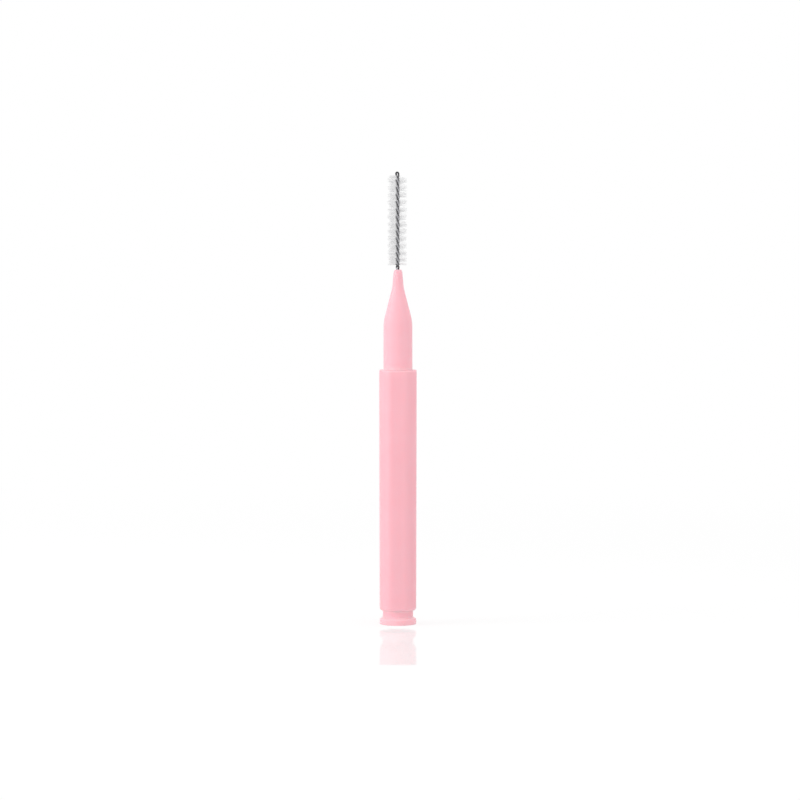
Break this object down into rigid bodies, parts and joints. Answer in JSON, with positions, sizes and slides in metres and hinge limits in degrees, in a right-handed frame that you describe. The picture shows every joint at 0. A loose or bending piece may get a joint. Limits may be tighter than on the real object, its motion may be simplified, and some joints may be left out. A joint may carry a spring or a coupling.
{
  "type": "interdental brush",
  "caption": "Slim interdental brush: a twisted-wire brush on a round moulded core, with a faceted sleeve that is the grip and slides up to cover the bristles.",
  "frame": {"origin": "centre of the flat end face that the brush stands on", "axes": "+Z along the brush, from the end face to the tip; -Y towards the viewer, square to the sleeve's front flat"},
  "size_m": [0.0066, 0.0066, 0.0797],
  "materials": {
    "core_plastic": "satin",
    "sleeve_plastic": "satin",
    "wire_steel": "drawn",
    "bristle_nylon": "translucent satin"
  },
  "bodies": {
    "core": {"handle_core": "core_plastic", "twisted_wire": "wire_steel", "bristles": "bristle_nylon"},
    "sleeve": {"sliding_sleeve": "sleeve_plastic"}
  },
  "joints": [
    {"name": "sleeve_slide", "type": "slide", "parent": "core", "child": "sleeve", "axis": [0, 0, 1], "range_m": [0, 0.03565]}
  ]
}
